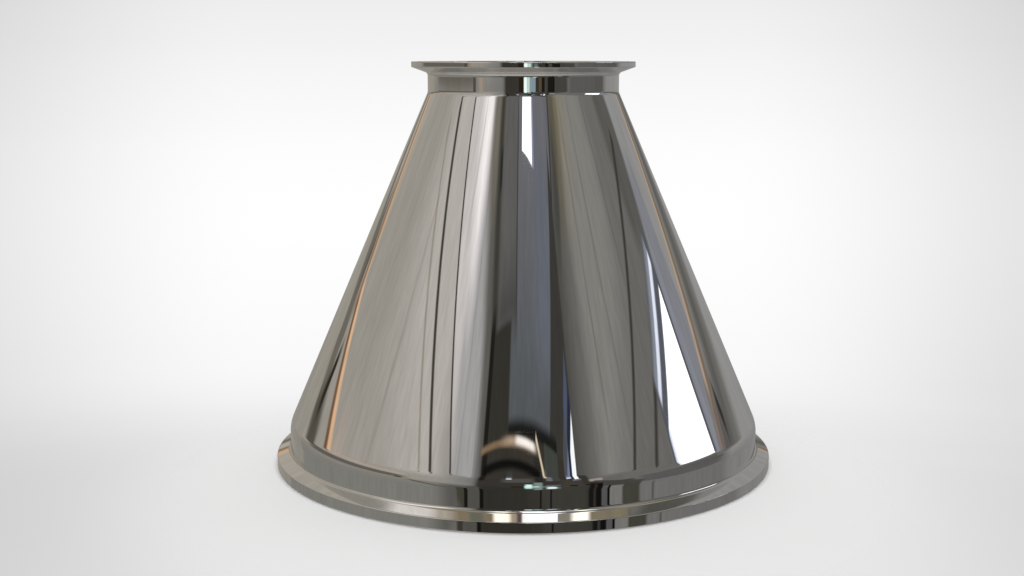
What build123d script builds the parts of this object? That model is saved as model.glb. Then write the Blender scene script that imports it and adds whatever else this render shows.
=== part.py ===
from build123d import *
from math import atan2, cos, radians, tan
import os

# Concentric reducer for hygienic pipework: a long cone that joins a large tube to a
# small one, with a clamp ferrule at each end. It is one polished stainless piece.
# It stands on the face of its large ferrule at z = 0, with its axis along Z.
# All sizes are in millimetres.

# Lengths along the axis
overall_length = 215.0  # from face to face
large_collar_length = 21.5  # large face to the corner where the cone begins
small_neck_length = 16.0  # corner where the cone ends to the small face

# Large end
large_tube_od = 254.0
large_tube_wall = 2.77
large_flange_overhang = 7.35  # how far the flange stands out past the tube
large_rim_thickness = 5.59  # straight edge of the flange
large_groove_inset = 5.1  # flange edge to the middle of the gasket groove

# Small end
small_tube_od = 101.6
small_tube_wall = 2.11
small_flange_overhang = 8.65
small_rim_thickness = 2.85
small_groove_inset = 4.3

# Cone sheet and its bends
cone_wall = 2.77
knuckle_radius = 17.0  # outside of the bend from the large collar into the cone
neck_bend_radius = 6.0  # outside of the bend from the cone into the small neck

# Features that both ferrules share
flange_back_angle = 20.0  # slope that the clamp pulls on
flange_fillet = 2.0  # where the sloped back runs into the tube
groove_radius = 1.6  # half-round seat of the gasket bead
edge_radius = 0.4  # broken edges of the rims and bores

# Radii
large_tube_r = large_tube_od / 2
large_bore_r = large_tube_r - large_tube_wall
large_flange_r = large_tube_r + large_flange_overhang
large_groove_r = large_flange_r - large_groove_inset
small_tube_r = small_tube_od / 2
small_bore_r = small_tube_r - small_tube_wall
small_flange_r = small_tube_r + small_flange_overhang
small_groove_r = small_flange_r - small_groove_inset

# Heights of the corners on the outside
back_slope = tan(radians(flange_back_angle))
large_back_top = large_rim_thickness + large_flange_overhang * back_slope
cone_bottom = large_collar_length
cone_top = overall_length - small_neck_length
small_rim_bottom = overall_length - small_rim_thickness
small_back_bottom = small_rim_bottom - small_flange_overhang * back_slope

# The inside of the cone runs one sheet thickness in from its outside
cone_angle = atan2(large_tube_r - small_tube_r, cone_top - cone_bottom)
cone_inner_r = large_tube_r - cone_wall / cos(cone_angle)  # at the height of cone_bottom


def inner_cone_height(radius):
    """Height at which the inside of the cone has this radius."""
    return cone_bottom + (cone_inner_r - radius) / tan(cone_angle)


# Corners of the half section, named for the bends and edges made on them
large_face_bore = (large_bore_r, 0)
large_face_rim = (large_flange_r, 0)
large_back_rim = (large_flange_r, large_rim_thickness)
large_back_tube = (large_tube_r, large_back_top)
knuckle = (large_tube_r, cone_bottom)
neck = (small_tube_r, cone_top)
small_back_tube = (small_tube_r, small_back_bottom)
small_back_rim = (small_flange_r, small_rim_bottom)
small_face_rim = (small_flange_r, overall_length)
small_face_bore = (small_bore_r, overall_length)
inner_neck = (small_bore_r, inner_cone_height(small_bore_r))
inner_knuckle = (large_bore_r, inner_cone_height(large_bore_r))

corner_radii = [
    (knuckle, knuckle_radius),
    (inner_knuckle, knuckle_radius - cone_wall),
    (neck, neck_bend_radius),
    (inner_neck, neck_bend_radius + cone_wall),
    (large_back_tube, flange_fillet),
    (small_back_tube, flange_fillet),
    (large_face_bore, edge_radius),
    (large_face_rim, edge_radius),
    (large_back_rim, edge_radius),
    (small_back_rim, edge_radius),
    (small_face_rim, edge_radius),
    (small_face_bore, edge_radius),
]

with BuildPart() as reducer:
    with BuildSketch(Plane.XZ) as half_section:
        with BuildLine():
            Polyline(
                large_face_bore,
                large_face_rim,
                large_back_rim,
                large_back_tube,
                knuckle,
                neck,
                small_back_tube,
                small_back_rim,
                small_face_rim,
                small_face_bore,
                inner_neck,
                inner_knuckle,
                close=True,
            )
        make_face()
        for corner, radius in corner_radii:
            fillet(half_section.vertices().sort_by_distance(corner)[0], radius)
        with Locations((large_groove_r, 0), (small_groove_r, overall_length)):
            Circle(groove_radius, mode=Mode.SUBTRACT)
    revolve(axis=Axis.Z)

reducer.part.label = "reducer"

os.makedirs("parts", exist_ok=True)
export_step(reducer.part, "parts/reducer.step")
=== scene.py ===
import math
import bmesh
import bpy
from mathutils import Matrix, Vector


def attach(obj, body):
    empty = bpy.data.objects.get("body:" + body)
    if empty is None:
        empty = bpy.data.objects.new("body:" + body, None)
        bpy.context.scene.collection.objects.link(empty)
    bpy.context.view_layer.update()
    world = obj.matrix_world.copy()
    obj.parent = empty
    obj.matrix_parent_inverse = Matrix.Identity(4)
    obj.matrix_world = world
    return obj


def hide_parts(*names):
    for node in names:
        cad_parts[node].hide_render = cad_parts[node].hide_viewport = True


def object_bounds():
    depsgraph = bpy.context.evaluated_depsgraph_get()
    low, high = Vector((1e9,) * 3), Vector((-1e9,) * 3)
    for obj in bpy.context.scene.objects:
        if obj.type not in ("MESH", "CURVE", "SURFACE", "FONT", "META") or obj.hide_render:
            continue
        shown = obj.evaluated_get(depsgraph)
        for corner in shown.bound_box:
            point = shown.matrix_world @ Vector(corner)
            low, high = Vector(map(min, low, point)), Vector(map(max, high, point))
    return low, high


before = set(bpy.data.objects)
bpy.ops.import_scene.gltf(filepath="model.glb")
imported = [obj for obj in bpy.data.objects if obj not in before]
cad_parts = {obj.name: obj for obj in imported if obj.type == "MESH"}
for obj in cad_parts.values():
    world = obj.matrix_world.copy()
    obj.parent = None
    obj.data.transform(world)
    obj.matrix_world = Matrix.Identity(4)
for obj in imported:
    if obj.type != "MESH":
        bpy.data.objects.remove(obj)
cadLow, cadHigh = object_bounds()

scene = bpy.context.scene
bodyName = "root"
nodeName = "reducer"

# Camera: stands in front, a little above the small flange, and looks slightly down
cameraView = {
    "distance": 0.759645,  # from the axis of the fitting, metres
    "height": 0.219281,
    "downTilt": 9.431,  # degrees below level
    "panLeft": 0.454,  # degrees
    "focalLength": 49.69,  # millimetres, on a sensor 36 mm wide
    "sensorWidth": 36.0,
    "farthestSeen": 50.0,
}


def makeCamera(view):
    data = bpy.data.cameras.new("mainCamera")
    data.sensor_width = view["sensorWidth"]
    data.lens = view["focalLength"]
    data.clip_end = view["farthestSeen"]
    camera = bpy.data.objects.new("mainCamera", data)
    scene.collection.objects.link(camera)
    camera.location = (0.0, -view["distance"], view["height"])
    camera.rotation_euler = (math.radians(90.0 - view["downTilt"]), 0.0, math.radians(view["panLeft"]))
    scene.camera = camera


makeCamera(cameraView)
scene.view_settings.view_transform = "Standard"
print("camera placed")

# Fitting: one half section, turned once round the axis. Radii and heights in metres
fittingShape = {
    "largeTubeRadius": 0.1270,
    "largeWall": 0.00277,
    "largeRimThickness": 0.00559,
    "largeGrooveInset": 0.0051,
    "collarLength": 0.0215,  # large face to the corner where the cone begins
    "smallTubeRadius": 0.0508,
    "smallWall": 0.00211,
    "smallFlangeOverhang": 0.00865,
    "smallRimThickness": 0.00285,
    "smallGrooveInset": 0.0043,
    "neckLength": 0.0160,  # corner where the cone ends to the small face
    "coneWall": 0.00277,
    "knuckleRadius": 0.0170,
    "neckBendRadius": 0.0060,
    "backAngle": 20.0,  # slope of the flange backs, degrees
    "backFillet": 0.0020,
    "grooveRadius": 0.0016,
    "brokenEdge": 0.0004,
    "stepsRound": 384,  # facets in one full turn
    "coneRings": 40,
    "coneRunOver": 0.1,  # the straight runs longer than this are the two sides of the cone
    "supportGap": 0.00025,  # ring beside each bend, which keeps the flats flat in the shading
    "sharpAngle": 50.0,  # edges that turn more than this stay crisp, degrees
    "mergeWithin": 1e-6,
    "edgeSteps": 4,  # facets along each bend of the half section
    "boreEdgeSteps": 3,
    "filletSteps": 6,
    "grooveSteps": 8,
    "neckSteps": 10,
    "knuckleSteps": 18,
    "innerKnuckleSteps": 12,
}


def halfSection(shape):
    # Corners from the bore of the large face outwards, up and back down inside: place, radius, steps
    largeFlange = cadHigh.x
    length = cadHigh.z
    slope = math.tan(math.radians(shape["backAngle"]))
    largeTube = shape["largeTubeRadius"]
    largeBore = largeTube - shape["largeWall"]
    smallTube = shape["smallTubeRadius"]
    smallBore = smallTube - shape["smallWall"]
    smallFlange = smallTube + shape["smallFlangeOverhang"]
    largeBackTop = shape["largeRimThickness"] + (largeFlange - largeTube) * slope
    smallRimBottom = length - shape["smallRimThickness"]
    smallBackBottom = smallRimBottom - shape["smallFlangeOverhang"] * slope
    coneBottom = shape["collarLength"]
    coneTop = length - shape["neckLength"]
    coneTurn = math.atan2(largeTube - smallTube, coneTop - coneBottom)
    innerStart = largeTube - shape["coneWall"] / math.cos(coneTurn)  # inside radius level with coneBottom
    innerNeck = coneBottom + (innerStart - smallBore) / math.tan(coneTurn)
    innerKnuckle = coneBottom + (innerStart - largeBore) / math.tan(coneTurn)
    edge = shape["brokenEdge"]
    groove = shape["grooveRadius"]
    return [
        ("round", (largeBore, 0.0), edge, shape["boreEdgeSteps"]),
        ("groove", (largeFlange - shape["largeGrooveInset"], 0.0), groove, shape["grooveSteps"]),
        ("round", (largeFlange, 0.0), edge, shape["edgeSteps"]),
        ("round", (largeFlange, shape["largeRimThickness"]), edge, shape["edgeSteps"]),
        ("round", (largeTube, largeBackTop), shape["backFillet"], shape["filletSteps"]),
        ("round", (largeTube, coneBottom), shape["knuckleRadius"], shape["knuckleSteps"]),
        ("round", (smallTube, coneTop), shape["neckBendRadius"], shape["neckSteps"]),
        ("round", (smallTube, smallBackBottom), shape["backFillet"], shape["filletSteps"]),
        ("round", (smallFlange, smallRimBottom), edge, shape["edgeSteps"]),
        ("round", (smallFlange, length), edge, shape["edgeSteps"]),
        ("groove", (smallFlange - shape["smallGrooveInset"], length), groove, shape["grooveSteps"]),
        ("round", (smallBore, length), edge, shape["boreEdgeSteps"]),
        ("round", (smallBore, innerNeck), shape["neckBendRadius"] + shape["coneWall"], shape["neckSteps"]),
        ("round", (largeBore, innerKnuckle), shape["knuckleRadius"] - shape["coneWall"],
         shape["innerKnuckleSteps"]),
    ]


def sweepArc(sheet, start, centre, angle, steps):
    # Turns one vertex about an axis along Y and returns the first and last vertex of the arc
    first = sheet.verts.new((start.x, 0.0, start.y))
    swept = bmesh.ops.spin(sheet, geom=[first], cent=(centre.x, 0.0, centre.y), axis=(0.0, 1.0, 0.0),
                           angle=angle, steps=steps)
    return first, swept["geom_last"][0]


def drawCorner(sheet, before, corner, after, radius, steps):
    inward = (before - corner).normalized()
    onward = (after - corner).normalized()
    turn = math.pi - inward.angle(onward)
    start = corner + inward * radius * math.tan(turn / 2)
    centre = corner + (inward + onward).normalized() * radius / math.cos(turn / 2)
    leftTurn = inward.cross(onward) < 0
    return sweepArc(sheet, start, centre, -turn if leftTurn else turn, steps)


def drawGroove(sheet, before, middle, radius, steps):
    start = middle + (before - middle).normalized() * radius
    hollowUp = middle.y < cadHigh.z / 2
    outward = middle.x > before.x
    return sweepArc(sheet, start, middle, math.pi if hollowUp == outward else -math.pi, steps)


def joinRun(sheet, first, second, gap):
    # Straight run between two bends, with a ring close to each end. Returns its middle edge
    run = second.co - first.co
    ends = [first, second]
    if run.length > 3 * gap:  # long enough for both rings with a run between them
        nearFirst = sheet.verts.new(first.co + run.normalized() * gap)
        nearSecond = sheet.verts.new(second.co - run.normalized() * gap)
        ends = [first, nearFirst, nearSecond, second]
    edges = [sheet.edges.new(pair) for pair in zip(ends, ends[1:])]
    return edges[len(edges) // 2]


def makeFitting(shape):
    sheet = bmesh.new()
    corners = halfSection(shape)
    arcs = []
    for i, (kind, place, radius, steps) in enumerate(corners):
        corner = Vector(place)
        before = Vector(corners[i - 1][1])
        after = Vector(corners[(i + 1) % len(corners)][1])
        if kind == "groove":
            arcs.append(drawGroove(sheet, before, corner, radius, steps))
        else:
            arcs.append(drawCorner(sheet, before, corner, after, radius, steps))
    middles = [joinRun(sheet, arc[1], nextArc[0], shape["supportGap"])
               for arc, nextArc in zip(arcs, arcs[1:] + arcs[:1])]
    coneRuns = [edge for edge in middles if edge.calc_length() > shape["coneRunOver"]]
    bmesh.ops.subdivide_edges(sheet, edges=coneRuns, cuts=shape["coneRings"])
    outline = list(sheet.verts) + list(sheet.edges)
    bmesh.ops.spin(sheet, geom=outline, cent=(0.0, 0.0, 0.0), axis=(0.0, 0.0, 1.0),
                   angle=math.tau, steps=shape["stepsRound"], use_merge=True)
    bmesh.ops.remove_doubles(sheet, verts=sheet.verts, dist=shape["mergeWithin"])
    bmesh.ops.recalc_face_normals(sheet, faces=sheet.faces)
    for face in sheet.faces:
        face.smooth = True
    for edge in sheet.edges:
        edge.smooth = edge.calc_face_angle(0.0) < math.radians(shape["sharpAngle"])
    data = bpy.data.meshes.new("polishedReducer")
    sheet.to_mesh(data)
    sheet.free()
    piece = bpy.data.objects.new("polishedReducer", data)
    scene.collection.objects.link(piece)
    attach(piece, bodyName)
    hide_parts(nodeName)
    print("fitting turned:", len(data.polygons), "faces")
    return piece


# Steel: mirror polish with a trace of the polishing wheel, which ran round the axis
steelFinish = {
    "colour": (0.70, 0.69, 0.67),
    "paler": (0.715, 0.706, 0.688),
    "cloudSize": 9.0,  # noise scale of the slight colour change
    "smoothest": 0.008,  # roughness
    "dullest": 0.024,
    "wheelMarks": (14.0, 14.0, 1100.0),  # noise scale across, across and up
    "wheelDetail": 3.0,
    "hazeFrom": 0.35,  # part of the noise that runs from smoothest to dullest
    "hazeTo": 0.75,
}


def makeSteel(finish):
    material = bpy.data.materials.new("polishedStainless")
    material.use_nodes = True
    nodes = material.node_tree.nodes
    links = material.node_tree.links
    shader = nodes["Principled BSDF"]
    shader.inputs["Metallic"].default_value = 1.0
    place = nodes.new("ShaderNodeTexCoord")
    clouds = nodes.new("ShaderNodeTexNoise")
    clouds.inputs["Scale"].default_value = finish["cloudSize"]
    links.new(place.outputs["Object"], clouds.inputs["Vector"])
    tone = nodes.new("ShaderNodeMix")
    tone.data_type = "RGBA"
    tone.inputs["A"].default_value = (*finish["colour"], 1.0)
    tone.inputs["B"].default_value = (*finish["paler"], 1.0)
    links.new(clouds.outputs["Fac"], tone.inputs["Factor"])
    links.new(tone.outputs["Result"], shader.inputs["Base Color"])
    stretch = nodes.new("ShaderNodeMapping")
    stretch.inputs["Scale"].default_value = finish["wheelMarks"]
    links.new(place.outputs["Object"], stretch.inputs["Vector"])
    marks = nodes.new("ShaderNodeTexNoise")
    marks.inputs["Scale"].default_value = 1.0  # wheelMarks has the scale
    marks.inputs["Detail"].default_value = finish["wheelDetail"]
    links.new(stretch.outputs["Vector"], marks.inputs["Vector"])
    haze = nodes.new("ShaderNodeMapRange")
    haze.inputs["From Min"].default_value = finish["hazeFrom"]
    haze.inputs["From Max"].default_value = finish["hazeTo"]
    haze.inputs["To Min"].default_value = finish["smoothest"]
    haze.inputs["To Max"].default_value = finish["dullest"]
    links.new(marks.outputs["Fac"], haze.inputs["Value"])
    links.new(haze.outputs["Result"], shader.inputs["Roughness"])
    return material


piece = makeFitting(fittingShape)
steel = makeSteel(steelFinish)
piece.data.materials.append(steel)
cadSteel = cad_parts[nodeName]
cadSteel.data.materials.clear()
cadSteel.data.materials.append(steel)
print("steel made")

# Surroundings: a plain room that only the mirror finish sees. Each panel lies on a wall one metre away.
# Directions of the walls as seen from the fitting, degrees round from the camera's side
wallDirection = {
    "left": -88.0,
    "front": -1.0,
    "right": 82.5,
    "back": 178.0,
    "rearLeft": -175.0,
    "rearRight": 142.0,
}
nearestWall = 0.02  # depth along the wall's direction, below which a line of sight misses it
missedWall = 1000.0  # how far off to the side such a line is put
# Shades below are as seen in the steel, so the lights are brighter by these shares
steelReflects = (0.7075, 0.698, 0.679)

# Panel: wall, (left, right), (bottom, top), (softness across, up), shade, lean in degrees, amount.
# A later panel covers the ones before it
roomPanels = {
    # Broad fields of each wall
    "ceilingField": ("ceiling", (-30, 30), (-30, 30), (1, 1), (100, 101, 105)),
    "ceilingFar": ("ceiling", (-0.4, 0.8), (1.35, 4.0), (0.1, 0.5), (83, 87, 90)),
    "floorField": ("floor", (-30, 30), (-30, 30), (1, 1), (137, 134, 130)),
    "floorRight": ("floor", (0.65, 30), (-1.0, 30), (0.5, 1.5), (113, 112, 110)),
    "floorNear": ("floor", (-0.95, 0.62), (-0.95, 0.95), (0.4, 0.4), (170, 166, 160)),
    "floorNearRight": ("floor", (0.5, 0.95), (-0.95, 0.95), (0.2, 0.4), (152, 150, 148)),
    "backField": ("back", (-1.6, 1.9), (-0.6, 1.3), (0.3, 0.2), (146, 143, 137)),
    "rearLeftField": ("rearLeft", (-1.6, 0.98), (-0.6, 1.3), (0.3, 0.2), (158, 152, 142)),
    "rearLeftLower": ("rearLeft", (-1.6, 0.98), (-0.6, 0.0), (0.3, 0.3), (134, 130, 122)),
    "rearRightField": ("rearRight", (-1.2, 0.9), (-0.6, 1.3), (0.2, 0.2), (138, 137, 135)),
    "rearRightLower": ("rearRight", (-1.2, 0.9), (-0.6, -0.1), (0.2, 0.3), (121, 120, 119)),
    "rightField": ("right", (-2.6, 0.60), (-0.6, 1.43), (0.25, 0.2), (106, 105, 102)),
    "leftField": ("left", (-1.03, 2.45), (-0.6, 1.58), (0.06, 0.16), (149, 145, 137)),
    # Left wall
    "leftUpper": ("left", (-0.04, 1.10), (0.42, 1.60), (0.6, 0.4), (176, 171, 164)),
    "leftLower": ("left", (-1.03, 2.45), (-0.6, -0.02), (0.05, 0.06), (125, 122, 116)),
    "leftDeep": ("left", (-1.03, 1.2), (-0.6, -0.25), (0.05, 0.1), (120, 119, 114)),
    "leftFar": ("left", (1.40, 3.5), (-0.10, 2.4), (1.2, 0.1), (123, 122, 120)),
    "leftFarLower": ("left", (1.15, 3.5), (-0.7, -0.12), (0.5, 0.3), (88, 86, 82)),
    "leftGlow": ("left", (0.05, 1.30), (0.845, 1.66), (0.4, 0.03), (194, 189, 186)),
    "leftGlowSide": ("left", (1.15, 2.00), (0.88, 1.60), (0.2, 0.3), (159, 157, 156)),
    "leftGlowCore": ("left", (0.50, 1.24), (1.06, 1.60), (0.4, 0.24), (240, 234, 233)),
    "leftGlowTop": ("left", (-0.10, 0.62), (1.12, 1.62), (0.5, 0.12), (240, 234, 231)),
    "leftCorner": ("left", (2.22, 3.6), (-0.7, 2.4), (0.6, 0.1), (62, 60, 56)),
    "seamGlow": ("left", (0.84, 0.88), (0.93, 1.14), (0.06, 0.1), (165, 160, 157), 0, 0.6),
    "seamSide": ("left", (1.42, 1.46), (0.90, 1.50), (0.05, 0.1), (140, 138, 137), 0, 0.6),
    "seamLow": ("left", (0.11, 0.14), (0.10, 0.56), (0.03, 0.1), (135, 130, 123), 0, 0.5),
    "seamFar": ("left", (1.95, 1.99), (0.2, 1.4), (0.05, 0.2), (104, 103, 102), 0, 0.5),
    "lineUpper": ("left", (0.40, 1.33), (0.824, 0.843), (0.01, 0.012), (58, 54, 48)),
    "lineUpperRise": ("left", (0.395, 0.425), (0.83, 0.92), (0.02, 0.02), (62, 58, 52)),
    "lineUpperTail": ("left", (1.285, 1.33), (0.71, 0.83), (0.03, 0.1), (112, 110, 106)),
    "lineLower": ("left", (0.05, 0.93), (0.634, 0.655), (0.01, 0.012), (62, 58, 51)),
    "lineLowerRise": ("left", (0.03, 0.065), (0.64, 0.71), (0.02, 0.02), (64, 60, 54)),
    "lineLowerTail": ("left", (0.90, 0.95), (0.55, 0.64), (0.04, 0.08), (104, 100, 95)),
    "lineBrown": ("left", (-0.10, 0.72), (0.562, 0.573), (0.01, 0.012), (142, 134, 122)),
    "lineBrownTail": ("left", (0.72, 0.75), (0.49, 0.565), (0.03, 0.06), (132, 127, 120)),
    "warmBand": ("left", (-0.3, 0.62), (0.14, 0.24), (0.1, 0.07), (166, 153, 141)),
    "darkShelf": ("left", (-0.70, 0.61), (-0.028, 0.105), (0.30, 0.03), (95, 91, 83)),
    "shelfUnder": ("left", (-1.03, 0.61), (-0.12, -0.030), (0.05, 0.02), (131, 128, 121)),
    "darkShelfDeep": ("left", (0.50, 0.585), (-0.05, 0.035), (0.04, 0.03), (76, 72, 65)),
    "warmEdge": ("left", (0.68, 0.82), (-0.06, 0.02), (0.06, 0.02), (152, 138, 124)),
    "darkShelfEnd": ("left", (-1.20, -0.60), (0.052, 0.126), (0.10, 0.04), (80, 76, 67)),
    "shelfSpot": ("left", (-0.865, -0.775), (0.093, 0.158), (0.04, 0.03), (42, 38, 32)),
    "copperStrip": ("left", (-1.03, -0.31), (0.189, 0.207), (0.02, 0.012), (214, 174, 138), -1.5),
    "copperEdge": ("left", (-1.03, -0.33), (0.175, 0.190), (0.02, 0.01), (112, 84, 60), -1.5),
    "slope": ("left", (0.62, 1.95), (-0.40, -0.32), (0.1, 0.04), (92, 88, 84), -25.6),
    "cornerSpot": ("left", (1.72, 1.92), (-0.72, -0.56), (0.08, 0.06), (36, 34, 31)),
    # Ceiling
    "ceilingNear": ("ceiling", (-0.1, 0.5), (0.2, 1.12), (0.1, 0.2), (106, 105, 109)),
    "ceilingBlue": ("ceiling", (0.22, 0.50), (1.05, 1.48), (0.2, 0.2), (96, 100, 108)),
    "ceilingRight": ("ceiling", (0.535, 0.64), (0.78, 2.0), (0.06, 0.1), (57, 57, 53), 9),
    "ceilingEdge": ("ceiling", (0.52, 0.545), (0.7, 1.66), (0.02, 0.02), (48, 48, 46), 9),
    "soffit": ("ceiling", (-0.43, -0.11), (0.2, 1.392), (0.03, 0.02), (92, 91, 90)),
    "soffitEnd": ("ceiling", (-0.43, -0.11), (1.30, 1.392), (0.03, 0.24), (64, 64, 62)),
    "soffitEdge": ("ceiling", (-0.122, -0.098), (1.00, 1.40), (0.02, 0.1), (62, 63, 61)),
    "leftTop": ("ceiling", (-0.64, -0.42), (0.62, 1.75), (0.16, 0.2), (90, 88, 82)),
    "leftTopNear": ("ceiling", (-0.66, -0.42), (0.62, 1.08), (0.16, 0.2), (112, 107, 97)),
    "leftTopShade": ("ceiling", (-0.515, -0.42), (0.80, 1.62), (0.08, 0.1), (60, 59, 54)),
    "leftTopSpot": ("ceiling", (-0.46, -0.42), (1.03, 1.10), (0.03, 0.03), (40, 40, 36)),
    "warmLeft": ("ceiling", (-0.57, -0.20), (-0.6, 0.68), (0.10, 0.2), (143, 130, 108)),
    "warmLeftCool": ("ceiling", (-0.38, -0.285), (-0.6, 0.68), (0.03, 0.2), (118, 118, 105)),
    "warmLeftEdge": ("ceiling", (-0.62, -0.50), (-0.6, 0.62), (0.12, 0.2), (190, 182, 168)),
    "warmRight": ("ceiling", (0.47, 0.72), (-0.4, 0.56), (0.05, 0.14), (143, 133, 114)),
    "oliveRight": ("ceiling", (0.645, 0.73), (-0.4, 0.45), (0.03, 0.1), (164, 154, 120)),
    "lampFringe": ("ceiling", (0.155, 0.216), (0.3, 1.104), (0.015, 0.004), (140, 144, 166)),
    "lamp": ("ceiling", (-0.005, 0.251), (0.3, 0.72), (0.014, 0.014), (330, 330, 330)),
    "lampEnd": ("ceiling", (-0.03, 0.19), (0.6, 1.0), (0.02, 0.014), (300, 300, 300)),
    "lampTip": ("ceiling", (-0.018, 0.184), (0.90, 1.0955), (0.02, 0.003), (300, 300, 300), 4.3),
    "lampGap": ("ceiling", (-0.11, -0.008), (0.3, 0.76), (0.02, 0.04), (182, 168, 147)),
    "lampGapDark": ("ceiling", (-0.042, -0.006), (0.3, 0.76), (0.03, 0.04), (104, 84, 84)),
    "lampLeft": ("ceiling", (-0.208, -0.092), (0.3, 0.78), (0.045, 0.04), (320, 312, 290)),
    "lampRightHaze": ("ceiling", (0.26, 0.64), (0.59, 0.80), (0.03, 0.03), (226, 225, 220)),
    "lampGapRight": ("ceiling", (0.254, 0.35), (0.3, 0.588), (0.02, 0.02), (150, 141, 130)),
    "lampRight": ("ceiling", (0.352, 0.470), (0.3, 0.62), (0.05, 0.04), (320, 314, 296)),
    # Right wall, its broad shades first
    "rightShade": ("right", (-3.6, -1.18), (0.2, 1.43), (0.65, 0.06), (76, 75, 71)),
    "rightShadeDark": ("right", (-3.6, -1.475), (0.2, 1.6), (0.06, 0.06), (56, 55, 52)),
    "rightTop": ("right", (-0.25, 0.60), (0.95, 1.5), (0.5, 0.4), (91, 89, 83)),
    "rightMid": ("right", (-0.90, -0.12), (0.55, 1.30), (0.3, 0.2), (127, 125, 120)),
    "rightOlive": ("right", (-0.87, -0.30), (1.00, 1.5), (0.35, 0.3), (132, 125, 108)),
    "rightOliveDim": ("right", (-1.14, -0.78), (1.09, 1.43), (0.16, 0.1), (99, 92, 74), 0, 0.7),
    "rightUnder": ("right", (-0.80, 0.47), (-0.20, 0.485), (0.2, 0.03), (104, 102, 99)),
    "rightShelf": ("right", (-0.50, 0.45), (-0.20, 0.13), (0.15, 0.05), (88, 86, 85)),
    "rightLower": ("right", (-0.72, 0.55), (-0.6, -0.22), (0.2, 0.12), (108, 107, 105)),
    "rightDark": ("right", (-3.6, -1.00), (-0.6, 0.25), (0.05, 0.25), (46, 43, 39)),
    "rightDarkEdge": ("right", (-1.02, -0.58), (-0.24, 0.06), (0.10, 0.08), (66, 65, 61)),
    "rightBrown": ("right", (-1.95, -1.34), (-0.06, 0.35), (0.08, 0.1), (66, 60, 52)),
    "blockBeige": ("right", (-1.36, -1.00), (0.22, 0.42), (0.06, 0.12), (152, 143, 137)),
    "blockGrey": ("right", (-1.00, -0.70), (0.12, 0.40), (0.06, 0.12), (100, 98, 95)),
    "rightDarkSlope": ("right", (-1.232, -0.432), (-0.042, 0.098), (0.06, 0.05), (68, 66, 62), -27),
    "postRightA": ("right", (-1.275, -1.165), (-0.6, 0.02), (0.03, 0.05), (23, 22, 20)),
    "postRightB": ("right", (-1.115, -1.020), (-0.6, 0.00), (0.03, 0.05), (17, 17, 16)),
    "rightGapGrey": ("right", (-1.005, -0.89), (-0.6, -0.26), (0.03, 0.08), (82, 82, 83)),
    "rightGapLow": ("right", (-0.88, -0.69), (-0.6, -0.26), (0.03, 0.08), (115, 114, 111)),
    "postRightC": ("right", (-0.918, -0.880), (-0.6, -0.20), (0.02, 0.04), (14, 14, 13)),
    "postRightD": ("right", (-0.70, -0.487), (-0.6, -0.18), (0.04, 0.06), (64, 63, 56)),
    "postRightE": ("right", (-0.348, -0.328), (-0.6, -0.25), (0.02, 0.05), (78, 77, 73)),
    "neckShadeRight": ("right", (0.20, 0.50), (-0.05, 0.01), (0.1, 0.02), (83, 82, 79)),
    # Front wall
    "frontTop": ("front", (-0.125, 0.335), (0.575, 0.6175), (0.01, 0.016), (28, 28, 26)),
    "frontField": ("front", (-0.36, 0.62), (-0.5, 0.602), (0.04, 0.006), (54, 51, 46)),
    "frontDarkLow": ("front", (-0.33, 0.07), (-0.5, -0.05), (0.06, 0.03), (47, 46, 41)),
    "frontRightLow": ("front", (0.17, 0.60), (-0.5, -0.05), (0.04, 0.03), (58, 57, 52)),
    "frontRightUp": ("front", (0.34, 0.54), (0.02, 0.33), (0.06, 0.05), (64, 58, 53)),
    "frontEdgeLow": ("front", (-0.465, -0.345), (-0.5, -0.10), (0.02, 0.1), (79, 78, 73)),
    "frontLeftLow": ("front", (-0.58, -0.485), (-0.375, -0.20), (0.03, 0.02), (66, 63, 55)),
    "frontLeftRim": ("front", (-0.535, -0.465), (-0.5, -0.375), (0.04, 0.02), (58, 56, 49)),
    "frontLineLow": ("front", (-0.497, -0.461), (-0.372, -0.20), (0.015, 0.02), (24, 23, 20)),
    "frontLineLowB": ("front", (-0.345, -0.312), (-0.5, -0.20), (0.015, 0.06), (19, 19, 17)),
    "darkBlock": ("front", (-0.31, -0.12), (0.59, 0.722), (0.02, 0.012), (50, 49, 44)),
    "post": ("front", (-0.358, -0.309), (0.3, 0.745), (0.02, 0.05), (30, 29, 26)),
    "frontGreen": ("front", (0.212, 0.335), (0.30, 0.6030), (0.01, 0.006), (64, 67, 61)),
    "frontHaze": ("front", (-0.15, 0.10), (0.22, 0.46), (0.08, 0.12), (78, 77, 74)),
    "doorLeft": ("front", (0.12, 0.185), (0.05, 0.59), (0.03, 0.06), (40, 40, 38)),
    "doorFrame": ("front", (0.215, 0.265), (0.30, 0.55), (0.03, 0.06), (104, 104, 114)),
    "doorLine": ("front", (0.243, 0.259), (-0.5, -0.19), (0.01, 0.01), (26, 24, 21)),
    "doorLineBrown": ("front", (0.157, 0.172), (-0.342, -0.19), (0.01, 0.01), (22, 23, 19)),
    "slit": ("front", (-0.122, -0.078), (0.40, 0.48), (0.02, 0.02), (208, 216, 222)),
    "slitUpper": ("front", (-0.125, -0.075), (0.48, 0.56), (0.02, 0.03), (92, 98, 98)),
    "blackLine": ("front", (-0.34, 0.165), (0.5725, 0.5810), (0.02, 0.006), (17, 17, 16), -1.5),
    "glassA": ("front", (0.035, 0.095), (-0.125, 0.115), (0.03, 0.04), (172, 212, 203)),
    "glassB": ("front", (0.105, 0.175), (-0.19, 0.22), (0.03, 0.05), (120, 136, 130)),
    "glassC": ("front", (0.20, 0.33), (-0.17, 0.06), (0.03, 0.05), (92, 104, 106)),
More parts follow.
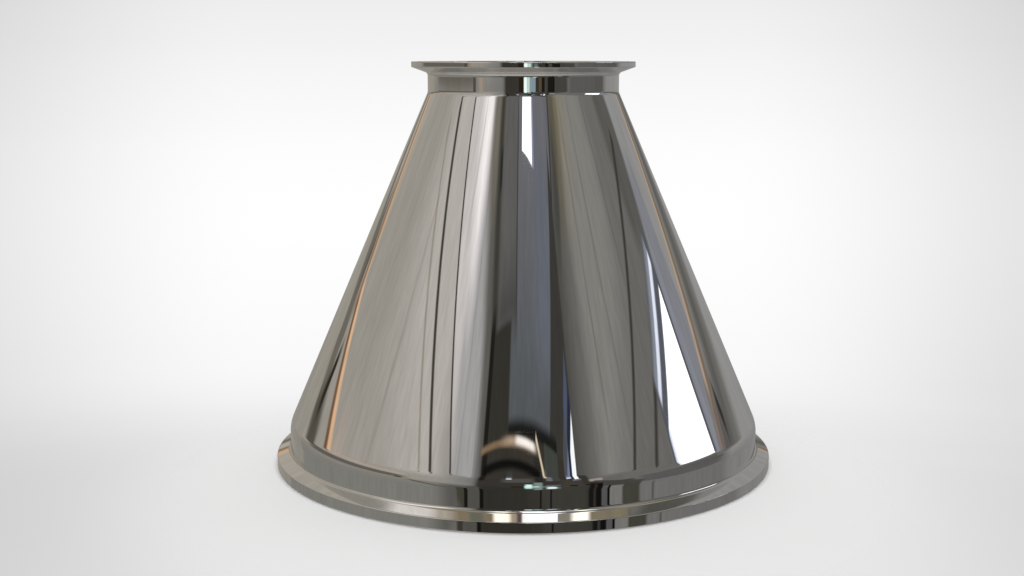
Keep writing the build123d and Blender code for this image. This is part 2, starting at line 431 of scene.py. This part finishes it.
    "glassCore": ("front", (0.215, 0.295), (-0.15, -0.04), (0.03, 0.02), (225, 240, 240)),
    "glassCoreA": ("front", (0.045, 0.085), (0.03, 0.10), (0.02, 0.03), (222, 248, 242)),
    "neckDarkA": ("front", (-0.075, 0.030), (-0.05, 0.01), (0.02, 0.02), (37, 32, 22)),
    "neckGlassA": ("front", (0.030, 0.090), (-0.045, 0.01), (0.02, 0.01), (240, 255, 252)),
    "neckGlassB": ("front", (0.090, 0.150), (-0.045, 0.01), (0.02, 0.01), (190, 210, 198)),
    "neckGlassC": ("front", (0.150, 0.275), (-0.045, -0.014), (0.02, 0.01), (128, 146, 152)),
    "neckDarkB": ("front", (0.275, 0.345), (-0.045, 0.01), (0.02, 0.01), (50, 51, 46)),
    "neckBrown": ("front", (0.345, 0.415), (-0.045, -0.014), (0.02, 0.01), (84, 71, 56)),
    "neckDarkC": ("front", (0.415, 0.490), (-0.045, 0.01), (0.02, 0.01), (28, 25, 19)),
    "neckGrey": ("front", (0.490, 0.570), (-0.045, 0.01), (0.02, 0.01), (66, 65, 60)),
    "neckDarkD": ("front", (0.570, 0.745), (-0.045, 0.01), (0.03, 0.01), (26, 25, 23)),
    "ropeLeft": ("front", (-0.375, -0.11), (0.5980, 0.6045), (0.01, 0.005), (126, 104, 80), -1.8),
    "ropeRight": ("front", (-0.15, 0.125), (0.5922, 0.6006), (0.12, 0.008), (168, 148, 126), -1.5),
    "ropeBright": ("front", (-0.045, 0.124), (0.5925, 0.6000), (0.05, 0.006), (250, 243, 235), -1.5),
    "ropeDrop": ("front", (0.131, 0.218), (0.5820, 0.5900), (0.008, 0.006), (214, 196, 171), -26.7),
    "ropeHang": ("front", (0.196, 0.222), (0.49, 0.566), (0.012, 0.03), (205, 186, 158)),
    # Right wall, at its front end
    "wedgeGrey": ("right", (-1.87, -1.68), (1.05, 1.205), (0.04, 0.03), (74, 77, 80)),
    "wedgeBlue": ("right", (-1.84, -1.66), (0.78, 1.11), (0.04, 0.04), (116, 124, 149)),
    "wedgeBlueTop": ("right", (-1.72, -1.53), (1.13, 1.21), (0.03, 0.03), (75, 82, 101)),
    "wedgeBlueWhite": ("right", (-1.86, -1.70), (0.78, 0.95), (0.06, 0.06), (206, 212, 234)),
    "wedgeFrame": ("right", (-1.678, -1.50), (0.78, 1.122), (0.02, 0.02), (36, 42, 62)),
    "wedge": ("right", (-1.602, -1.480), (0.60, 1.062), (0.025, 0.016), (252, 255, 255)),
    "wedgeFoot": ("right", (-1.68, -1.44), (0.46, 0.62), (0.04, 0.05), (98, 101, 116)),
    # Right wall, its fine lines and bright middle
    "arcLower": ("right", (-0.27, -0.05), (0.399, 0.411), (0.01, 0.01), (60, 57, 53)),
    "arcLowerTail": ("right", (-0.275, -0.255), (0.35, 0.40), (0.01, 0.02), (74, 72, 69)),
    "seamRightA": ("right", (-0.74, -0.71), (0.66, 1.04), (0.03, 0.1), (100, 97, 90), 0, 0.6),
    "seamRightB": ("right", (-0.46, -0.44), (0.52, 0.90), (0.03, 0.1), (98, 96, 92), 0, 0.6),
    "seamRightC": ("right", (-0.10, -0.07), (0.51, 0.72), (0.03, 0.1), (90, 88, 86), 0, 0.5),
    "reveal": ("right", (0.43, 0.80), (0.15, 0.44), (0.03, 0.06), (125, 126, 131)),
    "revealBlue": ("right", (0.45, 0.52), (0.15, 0.44), (0.04, 0.06), (129, 132, 140)),
    "revealUpper": ("right", (0.64, 0.95), (0.43, 0.8), (0.16, 0.05), (139, 139, 138)),
    "revealShade": ("right", (0.25, 0.52), (0.425, 0.8), (0.14, 0.04), (88, 85, 80)),
    "revealSlope": ("right", (0.316, 0.656), (0.399, 0.599), (0.14, 0.04), (89, 87, 83), 26),
    "arc": ("right", (-0.53, 0.46), (0.489, 0.502), (0.01, 0.01), (58, 56, 52)),
    "windowFrame": ("right", (-0.07, 0.436), (0.184, 0.412), (0.014, 0.014), (84, 87, 94)),
    "windowBarHaze": ("right", (-0.05, 0.402), (0.380, 0.406), (0.02, 0.014), (130, 134, 142)),
    "windowBar": ("right", (-0.04, 0.402), (0.380, 0.392), (0.03, 0.006), (226, 231, 246)),
    "window": ("right", (-0.043, 0.403), (0.192, 0.3585), (0.010, 0.006), (300, 300, 300)),
    "windowEdge": ("right", (-0.05, -0.025), (0.192, 0.3585), (0.02, 0.006), (228, 234, 250)),
    "windowCloud": ("right", (0.10, 0.15), (0.22, 0.340), (0.04, 0.03), (244, 253, 255), 0, 0.8),
    "windowSill": ("right", (-0.07, 0.45), (0.176, 0.190), (0.02, 0.01), (150, 148, 146)),
    # Walls behind, at the right and at the left
    "shadowRight": ("rearRight", (-0.75, 0.95), (0.038, 0.155), (0.15, 0.06), (104, 102, 98)),
    "shadowRightCore": ("rearRight", (-0.60, 0.95), (0.088, 0.126), (0.10, 0.03), (89, 88, 85)),
    "shadowRightSpot": ("rearRight", (-0.44, -0.38), (0.120, 0.152), (0.03, 0.02), (50, 47, 43)),
    "shadowRightEnd": ("rearRight", (-0.56, -0.44), (0.115, 0.165), (0.04, 0.03), (88, 87, 85)),
    "copperEdgeRight": ("rearRight", (-0.6, 0.9), (0.160, 0.184), (0.03, 0.014), (117, 102, 87)),
    "copperStripRight": ("rearRight", (-0.64, 0.9), (0.183, 0.200), (0.03, 0.012), (168, 148, 127)),
    "copperDimRight": ("rearRight", (-0.66, -0.50), (0.165, 0.205), (0.06, 0.01), (106, 98, 96), 0, 0.7),
    "rearLeftShade": ("rearLeft", (0.15, 0.90), (-0.08, 0.07), (0.1, 0.06), (143, 138, 128)),
    "shadowLeft": ("rearLeft", (0.05, 0.60), (0.072, 0.116), (0.10, 0.04), (101, 97, 88)),
    "shadowLeftFar": ("rearLeft", (0.56, 0.98), (0.078, 0.156), (0.06, 0.03), (104, 99, 90)),
    "shadowLeftSpot": ("rearLeft", (0.69, 0.78), (0.120, 0.160), (0.04, 0.02), (88, 84, 74)),
    "copperHaloLeft": ("rearLeft", (0.3, 0.9), (0.232, 0.290), (0.1, 0.04), (161, 151, 135)),
    "copperEdgeLeft": ("rearLeft", (-0.2, 0.97), (0.168, 0.200), (0.05, 0.02), (132, 108, 86)),
    "copperStripLeft": ("rearLeft", (-0.2, 0.97), (0.200, 0.232), (0.05, 0.02), (186, 156, 127)),
}


def linearLight(value):
    # From a shade of 0 to 255 to linear light, by the usual curve of screens. Lamps go beyond 255
    share = value / 255.0
    return share / 12.92 if share <= 0.04045 else ((share + 0.055) / 1.055) ** 2.4


def greyLight(shade):
    return (linearLight(shade), linearLight(shade), linearLight(shade), 1.0)


def asLight(shade):
    # The light that the steel mirrors as this shade
    return (*(linearLight(value) / share for value, share in zip(shade, steelReflects)), 1.0)


def mathNode(nodes, links, operation, first, second):
    node = nodes.new("ShaderNodeMath")
    node.operation = operation
    for socket, value in zip(node.inputs, (first, second)):
        if isinstance(value, (int, float)):
            socket.default_value = value
        else:
            links.new(value, socket)
    return node.outputs["Value"]


def dotNode(nodes, links, vector, axis):
    node = nodes.new("ShaderNodeVectorMath")
    node.operation = "DOT_PRODUCT"
    links.new(vector, node.inputs[0])
    node.inputs[1].default_value = axis
    return node.outputs["Value"]


def wallAxes(wall):
    # Direction of the wall, its sideways direction and its up direction
    if wall == "ceiling":
        return (0, 0, 1), (1, 0, 0), (0, -1, 0)
    if wall == "floor":
        return (0, 0, -1), (1, 0, 0), (0, -1, 0)
    turn = math.radians(wallDirection[wall])
    return (math.sin(turn), -math.cos(turn), 0), (math.cos(turn), math.sin(turn), 0), (0, 0, 1)


def wallPlace(nodes, links, direction, wall):
    # Where the line of sight meets the wall: metres sideways and up. Behind it, far off to the side
    ahead, sideways, up = wallAxes(wall)
    depth = dotNode(nodes, links, direction, ahead)
    safeDepth = mathNode(nodes, links, "MAXIMUM", depth, nearestWall)
    behind = mathNode(nodes, links, "LESS_THAN", depth, nearestWall)
    away = mathNode(nodes, links, "MULTIPLY", behind, missedWall)
    across = mathNode(nodes, links, "DIVIDE", dotNode(nodes, links, direction, sideways), safeDepth)
    height = mathNode(nodes, links, "DIVIDE", dotNode(nodes, links, direction, up), safeDepth)
    farAcross = mathNode(nodes, links, "ADD", across, away)
    farHeight = mathNode(nodes, links, "ADD", height, away)
    place = nodes.new("ShaderNodeCombineXYZ")
    links.new(farAcross, place.inputs["X"])
    links.new(farHeight, place.inputs["Y"])
    return place.outputs["Vector"]


def panelGroup():
    # One soft-edged panel laid over what is behind it
    group = bpy.data.node_groups.new("softPanel", "ShaderNodeTree")
    for name in ("Place", "Middle", "Inner", "Outer", "Amount"):
        group.interface.new_socket(name=name, in_out="INPUT", socket_type="NodeSocketVector")
    for name in ("Behind", "Shade"):
        group.interface.new_socket(name=name, in_out="INPUT", socket_type="NodeSocketColor")
    group.interface.new_socket(name="Shade", in_out="OUTPUT", socket_type="NodeSocketColor")
    nodes = group.nodes
    links = group.links
    given = nodes.new("NodeGroupInput")
    result = nodes.new("NodeGroupOutput")
    centred = nodes.new("ShaderNodeVectorMath")
    centred.operation = "SUBTRACT"
    links.new(given.outputs["Place"], centred.inputs[0])
    links.new(given.outputs["Middle"], centred.inputs[1])
    spread = nodes.new("ShaderNodeVectorMath")
    spread.operation = "ABSOLUTE"
    links.new(centred.outputs["Vector"], spread.inputs[0])
    fade = nodes.new("ShaderNodeMapRange")
    fade.data_type = "FLOAT_VECTOR"
    fade.interpolation_type = "SMOOTHSTEP"
    fromLow, fromHigh, toLow, toHigh = fade.inputs[7:11]  # the sockets that hold vectors
    links.new(spread.outputs["Vector"], fade.inputs["Vector"])
    links.new(given.outputs["Inner"], fromLow)
    links.new(given.outputs["Outer"], fromHigh)
    toLow.default_value = (1.0, 1.0, 1.0)
    toHigh.default_value = (0.0, 0.0, 0.0)
    coverUp = dotNode(nodes, links, fade.outputs["Vector"], (0.0, 1.0, 0.0))
    coverAcross = dotNode(nodes, links, fade.outputs["Vector"], (1.0, 0.0, 0.0))
    links.new(given.outputs["Amount"], coverAcross.node.inputs[1])
    strength = mathNode(nodes, links, "MULTIPLY", coverUp, coverAcross)
    mix = nodes.new("ShaderNodeMix")
    mix.data_type = "RGBA"
    links.new(strength, mix.inputs["Factor"])
    links.new(given.outputs["Behind"], mix.inputs["A"])
    links.new(given.outputs["Shade"], mix.inputs["B"])
    links.new(mix.outputs["Result"], result.inputs["Shade"])
    return group


def layPanel(nodes, links, group, place, behind, spec):
    across, up, soft, shade = spec[1:5]
    lean = spec[5] if len(spec) > 5 else 0.0
    amount = spec[6] if len(spec) > 6 else 1.0
    middle = (sum(across) / 2, sum(up) / 2, 0.0)
    halves = ((across[1] - across[0]) / 2, (up[1] - up[0]) / 2)
    if lean:
        turned = nodes.new("ShaderNodeVectorRotate")
        turned.rotation_type = "Z_AXIS"
        turned.inputs["Center"].default_value = middle
        turned.inputs["Angle"].default_value = -math.radians(lean)
        links.new(place, turned.inputs["Vector"])
        place = turned.outputs["Vector"]
    panel = nodes.new("ShaderNodeGroup")
    panel.node_tree = group
    panel.inputs["Middle"].default_value = middle
    panel.inputs["Inner"].default_value = (halves[0] - soft[0] / 2, halves[1] - soft[1] / 2, 0.0)
    panel.inputs["Outer"].default_value = (halves[0] + soft[0] / 2, halves[1] + soft[1] / 2, 1.0)
    panel.inputs["Amount"].default_value = (amount, 0.0, 0.0)
    panel.inputs["Shade"].default_value = asLight(shade)
    links.new(place, panel.inputs["Place"])
    if behind is not None:
        links.new(behind, panel.inputs["Behind"])
    return panel.outputs["Shade"]


# Plaster: faint unevenness of the walls, which the steel draws out into fine streaks
plasterLook = {
    "grainSize": 38.0,  # noise scale on the direction
    "grain": 0.10,  # share of the light
    "patchSize": 6.0,
    "patches": 0.05,
    "detail": 4.0,
    "roughness": 0.6,
    "noiseFrom": 0.25,  # part of the noise that runs from darkest to lightest
    "noiseTo": 0.75,
}


def plasterShade(nodes, links, direction, seen, look):
    for size, depth in ((look["grainSize"], look["grain"]), (look["patchSize"], look["patches"])):
        noise = nodes.new("ShaderNodeTexNoise")
        noise.inputs["Scale"].default_value = size
        noise.inputs["Detail"].default_value = look["detail"]
        noise.inputs["Roughness"].default_value = look["roughness"]
        links.new(direction, noise.inputs["Vector"])
        lift = nodes.new("ShaderNodeMapRange")
        lift.inputs["From Min"].default_value = look["noiseFrom"]
        lift.inputs["From Max"].default_value = look["noiseTo"]
        lift.inputs["To Min"].default_value = 1.0 - depth
        lift.inputs["To Max"].default_value = 1.0 + depth
        links.new(noise.outputs["Fac"], lift.inputs["Value"])
        shade = nodes.new("ShaderNodeVectorMath")
        shade.operation = "SCALE"
        links.new(seen, shade.inputs[0])
        links.new(lift.outputs["Result"], shade.inputs["Scale"])
        seen = shade.outputs["Vector"]
    return seen


# Backdrop: what the camera sees behind the fitting, as grey shades by the height of the line of sight.
# These shades are painted light and shade: brightest behind the fitting, darker above, below and at the
# sides
backdropLook = {
    "lowest": -0.40,
    "highest": 0.30,
    "shades": ((0.0, 230), (0.07, 231), (0.143, 229), (0.18, 230), (0.205, 235), (0.229, 242), (0.255, 248),
               (0.30, 251), (0.373, 254), (0.444, 254), (0.497, 251), (0.571, 244), (0.621, 238),
               (0.714, 230), (1.0, 222)),  # height from lowest to highest, shade
    "wallSides": {"middle": -0.02, "fadeFrom": 0.16, "fadeTo": 0.44, "depth": 0.262},  # turn in radians
    "floorSides": {"middle": 0.025, "fadeFrom": 0.18, "fadeTo": 0.46, "depth": 0.20},
    "halfView": 22.5,  # degrees, after which the sides repeat
    "floorBelow": -0.27,  # the floor's sides count below this height, the wall's above the next
    "wallAbove": -0.22,
    "sidesEndBelow": -0.62,  # seen from above, the floor has no dark sides
    "sidesWholeAbove": -0.46,
}
plainLight = 0.15  # what lights the floor evenly from all round


def sideFade(nodes, links, direction, sides):
    # Darkens both sides of the picture with painted shade. It repeats, so that views from other sides look
    # alike
    along = dotNode(nodes, links, direction, (1.0, 0.0, 0.0))
    ahead = dotNode(nodes, links, direction, (0.0, 1.0, 0.0))
    turn = mathNode(nodes, links, "ARCTAN2", along, ahead)
    centred = mathNode(nodes, links, "SUBTRACT", turn, sides["middle"])
    width = mathNode(nodes, links, "PINGPONG", centred, math.radians(backdropLook["halfView"]))
    fade = nodes.new("ShaderNodeMapRange")
    fade.interpolation_type = "SMOOTHSTEP"
    fade.inputs["From Min"].default_value = sides["fadeFrom"]
    fade.inputs["From Max"].default_value = sides["fadeTo"]
    fade.inputs["To Min"].default_value = 1.0
    fade.inputs["To Max"].default_value = 1.0 - sides["depth"]
    links.new(width, fade.inputs["Value"])
    return fade.outputs["Result"]


def backdropShade(nodes, links, direction):
    up = dotNode(nodes, links, direction, (0.0, 0.0, 1.0))
    height = nodes.new("ShaderNodeMapRange")
    height.inputs["From Min"].default_value = backdropLook["lowest"]
    height.inputs["From Max"].default_value = backdropLook["highest"]
    links.new(up, height.inputs["Value"])
    ramp = nodes.new("ShaderNodeValToRGB")
    steps = ramp.color_ramp
    steps.interpolation = "CARDINAL"
    for step, (place, shade) in enumerate(backdropLook["shades"]):
        stop = steps.elements[step] if step < 2 else steps.elements.new(place)
        stop.position = place
        stop.color = greyLight(shade)
    links.new(height.outputs["Result"], ramp.inputs["Fac"])
    aboveFloor = nodes.new("ShaderNodeMapRange")
    aboveFloor.inputs["From Min"].default_value = backdropLook["floorBelow"]
    aboveFloor.inputs["From Max"].default_value = backdropLook["wallAbove"]
    links.new(up, aboveFloor.inputs["Value"])
    strength = nodes.new("ShaderNodeMix")
    links.new(aboveFloor.outputs["Result"], strength.inputs["Factor"])
    links.new(sideFade(nodes, links, direction, backdropLook["floorSides"]), strength.inputs["A"])
    links.new(sideFade(nodes, links, direction, backdropLook["wallSides"]), strength.inputs["B"])
    level = nodes.new("ShaderNodeMapRange")
    level.inputs["From Min"].default_value = backdropLook["sidesEndBelow"]
    level.inputs["From Max"].default_value = backdropLook["sidesWholeAbove"]
    links.new(up, level.inputs["Value"])
    evened = nodes.new("ShaderNodeMix")
    evened.inputs["A"].default_value = 1.0
    links.new(level.outputs["Result"], evened.inputs["Factor"])
    links.new(strength.outputs["Result"], evened.inputs["B"])
    return ramp.outputs["Color"], evened.outputs["Result"]


def makeWorld():
    world = bpy.data.worlds.new("plainStudio")
    world.use_nodes = True
    scene.world = world
    nodes = world.node_tree.nodes
    links = world.node_tree.links
    nodes.clear()
    direction = nodes.new("ShaderNodeTexCoord").outputs["Generated"]
    group = panelGroup()
    places = {}
    seen = None
    for spec in roomPanels.values():
        wall = spec[0]
        if wall not in places:
            places[wall] = wallPlace(nodes, links, direction, wall)
        seen = layPanel(nodes, links, group, places[wall], seen, spec)
    room = nodes.new("ShaderNodeBackground")
    links.new(plasterShade(nodes, links, direction, seen, plasterLook), room.inputs["Color"])
    backdrop = nodes.new("ShaderNodeBackground")
    shade, strength = backdropShade(nodes, links, direction)
    links.new(shade, backdrop.inputs["Color"])
    links.new(strength, backdrop.inputs["Strength"])
    plain = nodes.new("ShaderNodeBackground")
    plain.inputs["Color"].default_value = (plainLight, plainLight, plainLight, 1.0)
    rays = nodes.new("ShaderNodeLightPath")
    chooseBackdrop = nodes.new("ShaderNodeMixShader")
    chooseRoom = nodes.new("ShaderNodeMixShader")
    output = nodes.new("ShaderNodeOutputWorld")
    links.new(rays.outputs["Is Camera Ray"], chooseBackdrop.inputs["Fac"])
    links.new(plain.outputs["Background"], chooseBackdrop.inputs[1])
    links.new(backdrop.outputs["Background"], chooseBackdrop.inputs[2])
    links.new(rays.outputs["Is Glossy Ray"], chooseRoom.inputs["Fac"])
    links.new(chooseBackdrop.outputs["Shader"], chooseRoom.inputs[1])
    links.new(room.outputs["Background"], chooseRoom.inputs[2])
    links.new(chooseRoom.outputs["Shader"], output.inputs["Surface"])
    print("surroundings made:", len(roomPanels), "panels")


makeWorld()

# Floor: plain and pale, fading into the backdrop behind the fitting
floorLook = {
    "colour": (0.80, 0.80, 0.80),
    "centre": (0.0, -0.05),
    "solidRadius": 0.10,
    "fadedRadius": 0.235,
    "sheetBeyond": 1.05,  # the sheet's radius as a share of the faded one
    "sheetCorners": 96,
    "lowerBy": 0.00005,
}


def makeFloor(look):
    sheet = bmesh.new()
    bmesh.ops.create_circle(sheet, cap_ends=True, segments=look["sheetCorners"],
                            radius=look["fadedRadius"] * look["sheetBeyond"])
    bmesh.ops.translate(sheet, verts=sheet.verts, vec=(*look["centre"], cadLow.z - look["lowerBy"]))
    data = bpy.data.meshes.new("studioFloor")
    sheet.to_mesh(data)
    sheet.free()
    floor = bpy.data.objects.new("studioFloor", data)
    scene.collection.objects.link(floor)
    floor.visible_glossy = False
    material = bpy.data.materials.new("paleFloor")
    material.use_nodes = True
    nodes = material.node_tree.nodes
    links = material.node_tree.links
    nodes.clear()
    place = nodes.new("ShaderNodeTexCoord")
    radius = nodes.new("ShaderNodeVectorMath")
    radius.operation = "DISTANCE"
    radius.inputs[1].default_value = (*look["centre"], 0.0)
    links.new(place.outputs["Object"], radius.inputs[0])
    fade = nodes.new("ShaderNodeMapRange")
    fade.interpolation_type = "SMOOTHSTEP"
    fade.inputs["From Min"].default_value = look["solidRadius"]
    fade.inputs["From Max"].default_value = look["fadedRadius"]
    links.new(radius.outputs["Value"], fade.inputs["Value"])
    matt = nodes.new("ShaderNodeBsdfDiffuse")
    matt.inputs["Color"].default_value = (*look["colour"], 1.0)
    clear = nodes.new("ShaderNodeBsdfTransparent")
    blend = nodes.new("ShaderNodeMixShader")
    output = nodes.new("ShaderNodeOutputMaterial")
    links.new(fade.outputs["Result"], blend.inputs["Fac"])
    links.new(matt.outputs["BSDF"], blend.inputs[1])
    links.new(clear.outputs["BSDF"], blend.inputs[2])
    links.new(blend.outputs["Shader"], output.inputs["Surface"])
    data.materials.append(material)


makeFloor(floorLook)

# Lights: one broad soft light above and one soft window light from the right. The steel mirrors neither
lightLooks = {
    "overhead": {"size": (1.6, 1.6), "at": (0.0, 0.1, 1.5), "aim": (0.0, 0.0, 0.0), "power": 27.4},
    "fromRight": {"size": (0.8, 0.5), "at": (1.6, 0.05, 0.55), "aim": (0.0, 0.0, 0.05), "power": 1.9},
}


def makeLight(name, look):
    data = bpy.data.lights.new(name, "AREA")
    data.shape = "RECTANGLE"
    data.size, data.size_y = look["size"]
    data.energy = look["power"]
    light = bpy.data.objects.new(name, data)
    scene.collection.objects.link(light)
    light.location = look["at"]
    light.rotation_euler = (Vector(look["aim"]) - Vector(look["at"])).to_track_quat("-Z", "Y").to_euler()
    light.visible_glossy = False
    light.visible_camera = False


for lightName, look in lightLooks.items():
    makeLight(lightName, look)
print("floor and lights placed")
